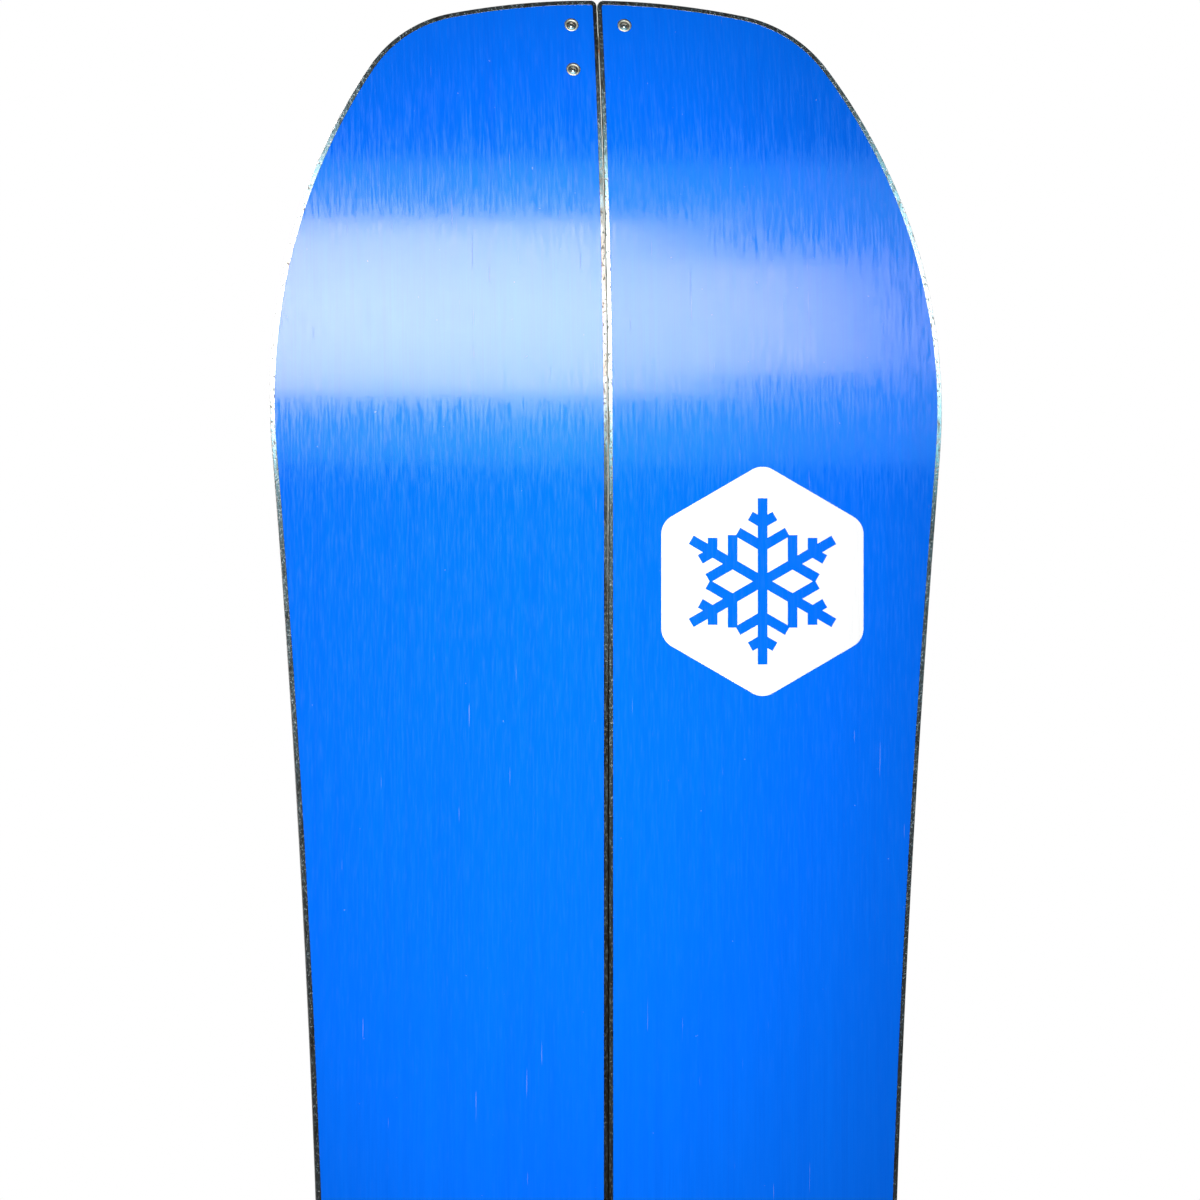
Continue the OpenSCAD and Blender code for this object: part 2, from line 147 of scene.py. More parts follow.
def clipped(path, axis, low, high):
    """The stretch of a path whose x (axis 0) or y (axis 1) lies between low and high."""
    out = []
    for p, q in zip(path[:-1], path[1:]):
        cuts = [0.0, 1.0]
        for limit in (low, high):
            if (p[axis] - limit) * (q[axis] - limit) < 0:
                cuts.append((limit - p[axis]) / (q[axis] - p[axis]))
        for t0, t1 in zip(sorted(cuts)[:-1], sorted(cuts)[1:]):
            middle = p + (t0 + t1) / 2 * (q - p)
            if low <= middle[axis] <= high:
                out += [p + t0 * (q - p), p + t1 * (q - p)]
    keep = [out[0]] + [b for a, b in zip(out[:-1], out[1:]) if np.linalg.norm(b - a) > SAME_POINT]
    return np.array(keep)


def ring_of(*paths):
    """One closed anticlockwise loop through the paths, with no segment over LONGEST_SEGMENT."""
    loop = np.concatenate(paths)
    points = []
    for p, q in zip(loop, np.roll(loop, -1, 0)):
        gap = np.linalg.norm(q - p)
        if gap > SAME_POINT:
            n = math.ceil(gap / LONGEST_SEGMENT)
            points += [p + i / n * (q - p) for i in range(n)]
    points = np.array(points)
    x, y = points[:, 0], points[:, 1]
    area = np.sum(x * np.roll(y, -1) - np.roll(x, -1) * y)
    return points if area > 0 else points[::-1]


def kick(end):
    """Length of the bend at one end."""
    return NOSE_KICK if end == NOSE else TAIL_KICK


def height(y, depth):
    """Height of a layer's surface above the floor at y, and its slope along y."""
    d, over_core = depth
    end = np.where(y < 0, NOSE, TAIL)
    reach = np.abs(y) - TIP_Y + np.where(y < 0, NOSE_KICK, TAIL_KICK)
    ramp = np.clip(-reach / TAPER_LEN, 0, 1)
    flat = d + over_core * (TIP_CORE_T + (CORE_T - TIP_CORE_T) * ramp)
    r = KICK_R - d - over_core * TIP_CORE_T
    u = np.clip(reach, 0, None)
    z = np.where(reach > 0, KICK_R - np.sqrt(r * r - u * u), flat)
    slope = np.where(reach > 0, end * u / np.sqrt(r * r - u * u), 0)
    on_ramp = (ramp > 0) & (ramp < 1) & (reach <= 0)
    return z, slope - np.where(on_ramp, end * over_core * (CORE_T - TIP_CORE_T) / TAPER_LEN, 0)


def clip_angle(end):
    """Tilt of the bend where a clip sits."""
    return math.asin((kick(end) - CLIP_FROM_TIP) / KICK_R)


def clip_place(end, side, x, y, z=0.0):
    """A matrix in metres at a point of a tip clip.

    x runs from the seam, y inward from the clip and z out of the deck.
    """
    a, r = clip_angle(end), KICK_R - TIP_T
    along = kick(end) - TIP_Y - r * math.sin(a) + y * math.cos(a) + z * math.sin(a)
    up = KICK_R - r * math.cos(a) - y * math.sin(a) + z * math.cos(a)
    tilt = -a if end == NOSE else a
    point = Vector((side * x, along if end == NOSE else -along, up)) * MM
    return Matrix.Translation(point) @ Matrix.Rotation(tilt, 4, "X")


# ---- Mesh building ----

TINY = 1e-12
# Grid inside a plate: rows' spacing as a share of columns', and clearance from edges as a share
ROW_SHARE, CLEARANCE_SHARE = 0.6, 0.45
# Points nearer than this are merged when a plate is divided into triangles, in millimetres
MERGE_DISTANCE = 1e-5
# Rim faces that turn by less than this cosine's angle share a normal
SOFT_COSINE = 0.8
# Turned pieces are shaded smooth up to this angle, and CAD edges sharper than the other are eased
TURNED_SMOOTH = math.radians(32)
EASE_ANGLE = math.radians(35)


def unit(v):
    """Vectors scaled to a length of 1."""
    return v / np.maximum(np.linalg.norm(v, axis=-1, keepdims=True), TINY)


def inside(points, loop):
    """Which points lie inside a closed loop, by the even-odd rule."""
    hit = np.zeros(len(points), bool)
    x, y = points[:, 0], points[:, 1]
    for p, q in zip(loop, np.roll(loop, -1, 0)):
        crosses = (p[1] > y) != (q[1] > y)
        dy = q[1] - p[1] if q[1] != p[1] else TINY
        hit ^= crosses & (x < p[0] + (y - p[1]) * (q[0] - p[0]) / dy)
    return hit


def moved_in(loop, d):
    """An anticlockwise loop moved inward by d."""
    before, after = unit(loop - np.roll(loop, 1, 0)), unit(np.roll(loop, -1, 0) - loop)
    n0 = np.stack([-before[:, 1], before[:, 0]], 1)
    n1 = np.stack([-after[:, 1], after[:, 0]], 1)
    return loop + d * (n0 + n1) / np.maximum(1 + np.sum(n0 * n1, 1), 0.5)[:, None]


def filled(loops, keep, spacing):
    """Triangles over a flat region: loops are its edges, keep(points) says what lies in it."""
    allp = np.concatenate(loops)
    low, high = allp.min(0), allp.max(0)
    xs = np.arange(low[0] + spacing / 2, high[0], spacing)
    ys = np.arange(low[1] + spacing / 3, high[1], spacing * ROW_SHARE)
    grid = np.stack(np.meshgrid(xs, ys), -1).reshape(-1, 2)
    grid = grid[keep(grid)]
    # grid points too near an edge would make slivers
    near = np.zeros(len(grid), bool)
    for p in allp:
        near |= np.sum((grid - p) ** 2, 1) < (CLEARANCE_SHARE * spacing) ** 2
    grid = grid[~near]
    edges, start = [], 0
    for loop in loops:
        n = len(loop)
        edges += [(start + i, start + (i + 1) % n) for i in range(n)]
        start += n
    points = [Vector(p) for p in np.concatenate([allp, grid])]
    found, _, faces, origin, _, _ = delaunay_2d_cdt(points, edges, [], 0, MERGE_DISTANCE)
    found = np.array([p[:] for p in found])
    faces = np.array([f for f in faces])
    middles = found[faces].mean(1)
    return found, faces[keep(middles)], origin


class Builder:
    """Collects vertices, faces and each face corner's normal, and makes them into a mesh."""

    def __init__(self):
        self.points, self.faces, self.normals = [], [], []

    def add(self, points):
        start = len(self.points)
        self.points += [tuple(p) for p in points]
        return start

    def face(self, corners, normals=None):
        self.faces.append(tuple(int(c) for c in corners))
        if normals is None:
            a, b, c = (np.array(self.points[i]) for i in corners[:3])
            normals = [unit(np.cross(b - a, c - a))] * len(corners)
        self.normals.append([tuple(n) for n in normals])

    def mesh(self, name, side=RIGHT):
        points = np.array(self.points) * MM * np.array([side, 1, 1])
        faces, normals = self.faces, self.normals
        if side == LEFT:
            faces = [f[::-1] for f in faces]
            normals = [[(-x, y, z) for x, y, z in n[::-1]] for n in normals]
        mesh = bpy.data.meshes.new(name)
        mesh.from_pydata([tuple(p) for p in points], [], faces)
        mesh.shade_smooth()
        mesh.normals_split_custom_set([n for corner in normals for n in corner])
        return mesh


def plate(outline, holes, bottom, top, bevel=0.0, keep=None, spacing=12.0):
    """A layer of the board between two depths, with rounded rims where bevel is over 0."""
    inner = [moved_in(outline, bevel) if bevel else outline] + holes
    if keep is None:
        def keep(points):
            hit = inside(points, inner[0])
            for h in holes:
                hit &= ~inside(points, h)
            return hit
    flat, triangles, origin = filled(inner, keep, spacing)
    # where the rim's vertices lie before the bevel moves them inward
    true = flat.copy()
    if bevel:
        for i, sources in enumerate(origin):
            for s in sources:
                if s < len(outline):
                    true[i] = outline[s]
    b = Builder()
    caps = {}
    for depth, up in ((bottom, -1), (top, 1)):
        z, slope = height(flat[:, 1], depth)
        start = b.add(np.column_stack([flat, z]))
        normals = up * unit(np.column_stack([np.zeros(len(z)), -slope, np.ones(len(z))]))
        caps[up] = start, normals
        for t in triangles:
            t = t if up > 0 else t[::-1]
            b.face(start + t, normals[t])
    walls(b, flat, true, triangles, bottom, top, bevel, caps)
    return b


def walls(b, flat, true, triangles, bottom, top, bevel, caps):
    """The rims of a plate, from its bottom to its top."""
    edges = {(int(t[i]), int(t[(i + 1) % 3])) for t in triangles for i in range(3)}
    rim = [e for e in edges if (e[1], e[0]) not in edges]
    out = {e: np.array([*(unit(true[e[1]] - true[e[0]])[[1, 0]] * (1, -1)), 0.0]) for e in rim}
    coming, leaving = {e[1]: e for e in rim}, {e[0]: e for e in rim}

    def soft(e, v):
        other = out[leaving[v]] if e[1] == v else out[coming[v]]
        return unit(out[e] + other) if out[e] @ other > SOFT_COSINE else out[e]

    middle = {}
    if bevel:
        for v in leaving:
            x, y = true[v]
            z0 = height(np.array(y), bottom)[0] + bevel
            z1 = height(np.array(y), top)[0] - bevel
            middle[v] = b.add([(x, y, z0), (x, y, z1)])
    low, low_n = caps[-1]
    high, high_n = caps[1]
    for e in rim:
        p, q = e
        np_, nq = soft(e, p), soft(e, q)
        if bevel and np.linalg.norm(true[p] - flat[p]) > 1e-9:
            mp, mq = middle[p], middle[q]
            b.face([low + q, mq, mp, low + p], [low_n[q], nq, np_, low_n[p]])
            b.face([mq, mq + 1, mp + 1, mp], [nq, nq, np_, np_])
            b.face([mq + 1, high + q, high + p, mp + 1], [nq, high_n[q], high_n[p], np_])
        else:
            b.face([low + q, high + q, high + p, low + p], [nq, nq, np_, np_])


def lathe(b, matrix, profile, n):
    """Turns a profile of (radius, height[, hexagon]) round an axis.

    A ring with the third value is a hexagon, as in a hex key's socket.
    """
    turn = np.linspace(0, 2 * math.pi, n, endpoint=False)
    rings = []
    for r, z, *hexagon in profile:
        across = (turn + math.pi / 6) % (math.pi / 3) - math.pi / 6
        flat = np.cos(math.pi / 6) / np.cos(across)
        radius = r * (flat if hexagon else 1) * np.ones(n)
        local = np.column_stack([radius * np.cos(turn), radius * np.sin(turn), np.full(n, z)])
        rings.append(np.array([matrix @ Vector(p * MM) for p in local]) / MM if r else local[:1])
    starts = []
    for ring, (r, z, *_) in zip(rings, profile):
        starts.append(b.add(ring if r else [np.array(matrix @ Vector((0, 0, z * MM))) / MM]))
    for k in range(len(profile) - 1):
        r0, r1 = profile[k][0], profile[k + 1][0]
        for i in range(n):
            j = (i + 1) % n
            if r0 and r1:
                b.face([starts[k] + i, starts[k] + j, starts[k + 1] + j, starts[k + 1] + i])
            elif r1:
                b.face([starts[k], starts[k + 1] + j, starts[k + 1] + i])
            elif r0:
                b.face([starts[k] + i, starts[k] + j, starts[k + 1]])


def turned(name, parts, n):
    """One mesh of several turned pieces, each a (matrix, profile)."""
    b = Builder()
    for matrix, profile in parts:
        lathe(b, matrix, profile, n)
    mesh = bpy.data.meshes.new(name)
    mesh.from_pydata([tuple(np.array(p) * MM) for p in b.points], [], b.faces)
    mesh.shade_smooth()
    mesh.set_sharp_from_angle(angle=TURNED_SMOOTH)
    return mesh


# ---- Materials ----


class Nodes:
    """A short way to build a material's node tree."""

    def __init__(self, name):
        self.material = bpy.data.materials.new(name)
        self.material.use_nodes = True
        self.tree = self.material.node_tree
        self.tree.nodes.clear()
        self.output = self.tree.nodes.new("ShaderNodeOutputMaterial")
        self.place = self.tree.nodes.new("ShaderNodeTexCoord").outputs["Object"]

    def new(self, kind, inputs=(), **settings):
        node = self.tree.nodes.new("ShaderNode" + kind)
        for key, value in settings.items():
            setattr(node, key, value)
        for key, value in dict(inputs).items():
            if isinstance(value, bpy.types.NodeSocket):
                self.tree.links.new(value, node.inputs[key])
            else:
                node.inputs[key].default_value = value
        return node

    def scaled(self, scale, turn):
        """The place in the object, turned and scaled per axis."""
        inputs = {"Vector": self.place, "Scale": scale, "Rotation": turn}
        return self.new("Mapping", inputs).outputs[0]

    def noise(self, scale, detail, rough=0.55, turn=(0, 0, 0)):
        """Noise whose grain is 1 / scale metres along each axis."""
        vector = self.scaled(scale, turn)
        inputs = {"Vector": vector, "Scale": 1.0, "Detail": detail, "Roughness": rough}
        return self.new("TexNoise", inputs).outputs[0]

    def math(self, operation, a, b, c=0.0):
        """One Math node's result; MULTIPLY_ADD is a * b + c."""
        return self.new("Math", {0: a, 1: b, 2: c}, operation=operation).outputs[0]

    def band(self, value, low, high, out_low=0.0, out_high=1.0):
        """value between low and high, taken to between out_low and out_high."""
        inputs = {
            "Value": value, "From Min": low, "From Max": high,
            "To Min": out_low, "To Max": out_high}
        return self.new("MapRange", inputs, interpolation_type="SMOOTHSTEP").outputs[0]

    def blend(self, factor, a, b):
        """The colour that far from a to b; sockets 6 and 7 are the Mix node's colours."""
        return self.new("Mix", {0: factor, 6: a, 7: b}, data_type="RGBA").outputs[2]

    def bump(self, height_value, depth, normal=None):
        """Bump of that many metres; more than one may be chained."""
        inputs = {"Height": height_value, "Strength": 1.0, "Distance": depth}
        if normal is not None:
            inputs["Normal"] = normal
        return self.new("Bump", inputs).outputs[0]

    def surface(self, colour, roughness, normal, **inputs):
        """The finished material; inputs are constants on the shader's own sockets."""
        values = {"Base Color": colour, "Roughness": roughness, "Normal": normal, **inputs}
        shader = self.new("BsdfPrincipled", values)
        self.tree.links.new(shader.outputs[0], self.output.inputs["Surface"])
        return self.material


def grey(v):
    return (v, v, v, 1)


BLUE, DEEP_BLUE = (0.0, 0.162, 0.93, 1), (0.0, 0.128, 0.83, 1)
OXIDE_AND_SHADE, PIT = (0.14, 0.095, 0.065, 1), (0.05, 0.04, 0.032, 1)
NICKEL, WORN_NICKEL = (0.74, 0.66, 0.55, 1), (0.46, 0.38, 0.28, 1)
PRINT_DARK, PRINT_LIGHT = (0.012, 0.016, 0.022, 1), (0.03, 0.042, 0.058, 1)
CONTOUR = (0.16, 0.24, 0.33, 1)
GLASS_DARK, GLASS_LIGHT = (0.36, 0.38, 0.26, 1), (0.62, 0.64, 0.5, 1)
POPLAR, DARK_POPLAR = (0.56, 0.4, 0.23, 1), (0.44, 0.29, 0.15, 1)
GLUE, GRAIN = (0.2, 0.12, 0.06, 1), (0.25, 0.15, 0.07, 1)
YELLOWED_NYLON = (0.66, 0.65, 0.61, 1)
SPACER_BLACK, SIDEWALL_BLACK = (0.02, 0.021, 0.024, 1), (0.014, 0.015, 0.018, 1)
ANODISED_BLACK, ANODISED_ORANGE = (0.045, 0.048, 0.055, 1), (0.85, 0.17, 0.03, 1)
HOOK_STEEL = (0.55, 0.56, 0.58, 1)
# How far the stone grind varies the base's roughness, up and down
GRIND = 0.05
# The glass cloth's threads lie this far either side of the board's length, in radians
THREAD_TURN = 0.785


def ground_plastic(name, colour, deep, roughness, specular):
    """Polyethylene base, stone-ground along its length: streaks, a few scratches and specks."""
    n = Nodes(name)
    fine = n.noise((2200, 130, 130), 2, 0.6)
    grind = n.noise((1150, 55, 55), 1, 0.4)
    streaks = n.noise((2600, 9, 60), 3)
    broad = n.noise((220, 2.2, 20), 3)
    cloud = n.noise((9, 5, 9), 2)
    cut = n.band(n.noise((1100, 26, 40), 2, 0.5, (0, 0, 0.05)), 0.74, 0.78)
    speck = n.band(n.noise((420, 420, 420), 2, 0.5), 0.77, 0.8)
    mark = n.math("MAXIMUM", cut, speck)
    tone = n.math("MULTIPLY_ADD", streaks, 0.34, 0.05)
    tone = n.math("MULTIPLY_ADD", broad, 0.24, n.math("MULTIPLY_ADD", cloud, 0.2, tone))
    tone = n.math("MULTIPLY_ADD", grind, 0.12, tone)
    shade = n.blend(n.band(tone, 0.25, 0.75), deep, colour)
    rough = n.band(fine, 0.3, 0.7, roughness - 0.05, roughness + 0.07)
    rough = n.math("ADD", rough, n.band(grind, 0.3, 0.7, -GRIND, GRIND))
    rough = n.math("MULTIPLY_ADD", mark, 0.15, rough)
    normal = n.bump(fine, 0.000009)
    normal = n.bump(n.math("MULTIPLY", mark, -1.0), 0.00002, normal)
    shade = n.blend(n.math("MULTIPLY", mark, 0.2), shade, grey(0.6))
    return n.surface(shade, rough, normal, **{"Specular IOR Level": specular})


def ground_steel(name, tone, stain_and_shade_spread):
    """Edge steel, ground along its length, with brown oxide stains and dark pits; where the stains
    are spread further, as on the left seam edge, the extra brown is painted shade.
    """
    n = Nodes(name)
    grind = n.noise((3200, 60, 900), 3)
    pit = n.band(n.noise((900, 620, 900), 4, 0.65), 0.53, 0.65)
    stain_and_shade = n.band(n.noise((420, 55, 420), 4, 0.6), 0.5 - stain_and_shade_spread, 0.66 - stain_and_shade_spread)
    colour = n.blend(n.math("MULTIPLY", stain_and_shade, 0.7), grey(tone), OXIDE_AND_SHADE)
    colour = n.blend(n.math("MULTIPLY", pit, 0.75), colour, PIT)
    rough = n.math("MULTIPLY_ADD", pit, 0.16, n.math("MULTIPLY_ADD", grind, 0.14, 0.12))
    return n.surface(colour, rough, n.bump(n.math("SUBTRACT", grind, pit), 0.00002), Metallic=1.0)


def plated_brass(name):
    """Nickel-plated brass bushes, worn warm where they have been rubbed."""
    n = Nodes(name)
    rings = n.noise((900, 900, 2600), 3)
    wear = n.band(n.noise((700, 700, 700), 3), 0.4, 0.66)
    colour = n.blend(wear, NICKEL, WORN_NICKEL)
    rough = n.math("MULTIPLY_ADD", rings, 0.16, 0.34)
    return n.surface(colour, rough, n.bump(rings, 0.00002), Metallic=1.0)


def turned_steel(name, tone=0.72):
    """Stainless hardware, with faint turning marks and handling scuffs."""
    n = Nodes(name)
    rings = n.noise((500, 500, 5200), 3)
    scuff = n.band(n.noise((1400, 1400, 1400), 4, 0.6), 0.56, 0.7)
    rough = n.math("MULTIPLY_ADD", scuff, 0.22, n.math("MULTIPLY_ADD", rings, 0.12, 0.14))
    colour = n.blend(n.math("MULTIPLY", scuff, 0.4), grey(tone), grey(tone * 0.55))
    return n.surface(colour, rough, n.bump(rings, 0.000012), Metallic=1.0)


def brushed_plate(name, colour, roughness):
    """Stamped and brushed metal with worn spots."""
    n = Nodes(name)
    brush = n.noise((4200, 120, 900), 3)
    wear = n.band(n.noise((420, 420, 420), 4, 0.62), 0.58, 0.72)
    shade = n.blend(n.math("MULTIPLY", wear, 0.45), colour, grey(0.5))
    rough = n.math("MULTIPLY_ADD", brush, 0.16, roughness - 0.06)
    return n.surface(shade, rough, n.bump(n.math("ADD", brush, wear), 0.000015), Metallic=1.0)


def top_print(name):
    """Satin nylon with fine pebbling, printed with contour lines drawn out along the board."""
    n = Nodes(name)
    land = n.noise((5.2, 2.3, 5.2), 2, 0.45)
    line = n.math("PINGPONG", n.math("MULTIPLY", land, 26.0), 0.5)
    line = n.math("SUBTRACT", 1.0, n.band(line, 0.02, 0.06))
    pebble = n.noise((2400, 2400, 2400), 2)
    scuff = n.band(n.noise((70, 300, 70), 4, 0.62), 0.62, 0.74)
    ground = n.blend(n.band(land, 0.35, 0.65), PRINT_DARK, PRINT_LIGHT)
    colour = n.blend(n.math("MULTIPLY", line, 0.55), ground, CONTOUR)
    colour = n.blend(n.math("MULTIPLY", scuff, 0.22), colour, grey(0.16))
    rough = n.math("MULTIPLY_ADD", scuff, 0.14, n.math("MULTIPLY_ADD", pebble, 0.14, 0.34))
    return n.surface(colour, rough, n.bump(pebble, 0.00003))


def planed_plastic(name, colour, roughness=0.42):
    """Sidewall and spacer plastic, planed by hand: fine chatter marks along the board."""
    n = Nodes(name)
    plane = n.noise((120, 90, 2600), 4)
    dust = n.band(n.noise((600, 600, 600), 4, 0.6), 0.55, 0.72)
    shade = n.blend(n.math("MULTIPLY", dust, 0.3), colour, grey(0.1))
    rough = n.math("MULTIPLY_ADD", plane, 0.25, roughness - 0.12)
    return n.surface(shade, rough, n.bump(plane, 0.00004))


def glass_weave(name):
    """Wet glass cloth: two sets of fine threads in pale resin."""
    n = Nodes(name)
    threads = []
    for turn in (THREAD_TURN, -THREAD_TURN):
        place = n.scaled((450, 450, 450), (0, 0, turn))
        inputs = {"Vector": place, "Scale": 1.0, "Distortion": 1.2}
        wave = n.new("TexWave", inputs, wave_type="BANDS", bands_direction="X")
        threads.append(wave.outputs[1])
    cloth = n.math("MULTIPLY", *threads)
    colour = n.blend(cloth, GLASS_DARK, GLASS_LIGHT)
    return n.surface(colour, n.band(cloth, 0, 1, 0.42, 0.22), n.bump(cloth, 0.00004))


def wood_strips(name):
    """Vertically laminated poplar strips, with long grain."""
    n = Nodes(name)
    strips = n.new("TexBrick", {
        "Vector": n.scaled((1, 1, 1), (0, 0, math.pi / 2)), "Scale": 1.0,
        "Mortar Size": 0.0004, "Brick Width": 6.0, "Row Height": 0.017,
        "Color1": POPLAR, "Color2": DARK_POPLAR, "Mortar": GLUE})
    grain = n.noise((700, 12, 500), 5, 0.6)
    colour = n.blend(n.band(grain, 0.3, 0.75, 0, 0.6), strips.outputs[0], GRAIN)
    return n.surface(colour, n.band(grain, 0, 1, 0.45, 0.7), n.bump(grain, 0.00004))


def moulded_nylon(name):
    """White nylon washers, slightly frosted."""
    n = Nodes(name)
    frost = n.noise((1800, 1800, 1800), 3)
    colour = n.blend(n.band(frost, 0.4, 0.7), grey(0.8), YELLOWED_NYLON)
    return n.surface(colour, n.band(frost, 0, 1, 0.3, 0.5), n.bump(frost, 0.00002))


# The two halves' gloss and seam steel are set a little apart, after the photograph
LOOKS = {
    "left_base": ground_plastic("base_blue_left", BLUE, DEEP_BLUE, 0.13, 0.62),
    "right_base": ground_plastic("base_blue_right", BLUE, DEEP_BLUE, 0.13, 0.52),
    "emblem": ground_plastic("base_white", grey(0.9), grey(0.85), 0.3, 0.3),
    "edge": ground_steel("edge_steel", 0.45, 0.0),
    # The left seam edge's steel is darker and more stained than the right's: painted shade, for the
    # seam edge that catches less light.
    "left_seam_edge": ground_steel("left_seam_edge_steel", 0.3, 0.1),
    "right_seam_edge": ground_steel("right_seam_edge_steel", 0.42, 0.0),
    "bush": plated_brass("nickel_plate"),
    "laminate": glass_weave("glass_laminate"),
    "core": wood_strips("wood_core"),
    "spacer": planed_plastic("spacer_plastic", SPACER_BLACK, 0.5),
    "sidewall": planed_plastic("sidewall_plastic", SIDEWALL_BLACK),
    "top_sheet": top_print("top_sheet_nylon"),
    "steel": turned_steel("stainless_steel"),
    "black_steel": turned_steel("black_oxide_steel", 0.12),
    "clip": brushed_plate("black_anodised", ANODISED_BLACK, 0.38),
    "lever": brushed_plate("orange_anodised", ANODISED_ORANGE, 0.34),
    "hook": brushed_plate("brushed_steel", HOOK_STEEL, 0.32),
    "washer": moulded_nylon("nylon_white"),
}
BODIES = frame["record"]["behaviour"]["bodies"]
BODY_OF = {node: body for body, nodes in BODIES.items() for node in nodes}


def show(node, mesh, look):
    """Shows a mesh in place of a CAD node, with the look's material, on the node's own body."""
    piece = bpy.data.objects.new("skin_" + node, mesh)
    bpy.context.scene.collection.objects.link(piece)
    mesh.materials.append(LOOKS[look])
    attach(piece, BODY_OF[node])
    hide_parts(node)
    return piece


def finish_cad(node, look, ease_width=0.0):
    """Gives a CAD node its material and, over 0, eased edges that wide in metres."""
    part = frame["nodes"][node]
    part.data.materials.clear()
    part.data.materials.append(LOOKS[look])
    if ease_width:
        ease = part.modifiers.new("eased_edges", "BEVEL")
        ease.width = ease_width
        ease.segments = 3
        ease.limit_method = "ANGLE"
        ease.angle_limit = EASE_ANGLE
        ease.harden_normals = True
        part.data.shade_smooth()


# ---- Where the metal goes ----

CLIP_X, CLIP_PITCH, BUSH_R = 12, 22, 3.1
STANCE_Y, HALF_STANCE = TIP_Y - 760, 280
FOOT_Y = [STANCE_Y - HALF_STANCE, STANCE_Y + HALF_STANCE]
INSERT_PITCH, INSERT_X, INSERT_ROW = 25.4, 34, 40
BRACKET_X, BRACKET_Y, BRACKET_SPAN, RISER_Y = 62, -40, 38, 220
HOOK_Y, HOOK_SCREW_X, HOOK_SCREW_SPAN = [-360, 385], 16, 26
INSERT_R, INSERT_BORE_R = 4.25, 3.05
HOLE_STEPS = 32
HOLE_TURN = [polar(360 * i / HOLE_STEPS) for i in range(HOLE_STEPS)]


def foot_points():
    """Places of a half's binding inserts: two rows of four under each foot."""
    rows = (INSERT_X, INSERT_X + INSERT_ROW)
    return [(x, y + i * INSERT_PITCH) for y in FOOT_Y for i in (-1.5, -0.5, 0.5, 1.5) for x in rows]


def touring_points():
    """Places of a half's touring inserts: four for the bracket, two for the heel riser."""
    half = BRACKET_SPAN / 2
    bracket = [(BRACKET_X + i * half, BRACKET_Y + j * half) for i in (-1, 1) for j in (-1, 1)]
    return bracket + [(BRACKET_X + i * half, RISER_Y) for i in (-1, 1)]


def hook_points():
    return [(HOOK_SCREW_X, y + i * HOOK_SCREW_SPAN / 2) for y in HOOK_Y for i in (-1, 1)]


def clip_rows(side):
    """A half's clip bolts, as (end, place along the clip): two for a catch, one for a lever."""
    rows = [-0.5, 0.5] if side == LEFT else [-0.5]
    return [(end, row * CLIP_PITCH) for end in (NOSE, TAIL) for row in rows]


def insert_holes():
    places = foot_points() + touring_points() + hook_points()
    return [np.array([np.array(p) + INSERT_R * t for t in HOLE_TURN]) for p in places]


def clip_point(end, x, y, z):
    """Where a point of a tip clip, as in clip_place, lies on the board, as (x, y)."""
    at = clip_place(end, RIGHT, x, y, z).translation
    return at.x / MM, at.y / MM


def clip_holes(side, depth, play=0.0):
    """Each bush's hole as it crosses a layer's surface at that depth in the bend."""
    r = BUSH_R + play
    return [np.array([clip_point(end, CLIP_X + r * c, row + r * s, depth - TIP_T)
                      for c, s in HOLE_TURN])
            for end, row in clip_rows(side)]


# ---- The layers ----

FLAT_Y = (NOSE_KICK - TIP_Y, TIP_Y - TAIL_KICK)
SEAM_INSIDE = SEAM_X + SEAM_EDGE_W
HALF_OUTLINE = ring_of(half_path())
# How far each layer's rim is rounded, and how much wider than its bush a hole in the base is
EDGE_BEVEL, SEAM_EDGE_BEVEL, WALL_BEVEL, INNER_BEVEL, TOP_BEVEL = 0.12, 0.15, 0.15, 0.1, 0.22
BUSH_PLAY = 0.12
INLAY_SPACING = 6


def in_hole(points, holes):
    hit = np.zeros(len(points), bool)
    for hole in holes:
        hit |= inside(points, hole)
    return hit


# The emblem's middle, from the seam and from the board's middle; the rest are its sizes
EMBLEM = np.array([69, 262 - TIP_Y])
EMBLEM_R, EMBLEM_CORNER_R = 51, 9
CRYSTAL_ARM, CRYSTAL_W, CRYSTAL_TIP, TWIG_RATIO = 37, 4.4, 0.98, 0.62
TWIGS_AT = (0.42, 0.7)


def hexagon_loop():
    """The emblem's outline: a hexagon with rounded corners."""
    at = EMBLEM_R - EMBLEM_CORNER_R
    corners = [(k * 60 + 30, k * 60 + 30 + j * 7.5) for k in range(6) for j in range(-4, 5)]
    return np.array([EMBLEM + at * polar(a) + EMBLEM_CORNER_R * polar(b) for a, b in corners])


def bar(start, angle, length):
    """A straight bar's four corners."""
    along, across = polar(angle), polar(angle + 90)
    return np.array([
        start - across * CRYSTAL_W / 2, start + along * length - across * CRYSTAL_W / 2,
        start + along * length + across * CRYSTAL_W / 2, start + across * CRYSTAL_W / 2])


def crystal_bars():
    """The snow crystal's arms and twigs."""
    bars = []
    for arm in range(6):
        angle = arm * 60 + 30
        bars.append(bar(EMBLEM, angle, CRYSTAL_ARM))
        for at in TWIGS_AT:
            root = EMBLEM + CRYSTAL_ARM * at * polar(angle)
            for turn in (-60, 60):
                bars.append(bar(root, angle + turn, CRYSTAL_ARM * (CRYSTAL_TIP - at) * TWIG_RATIO))
    return bars


def in_inlay(points):
    """Which points lie in the emblem's white part."""
    return inside(points, hexagon_loop()) & ~in_hole(points, crystal_bars())


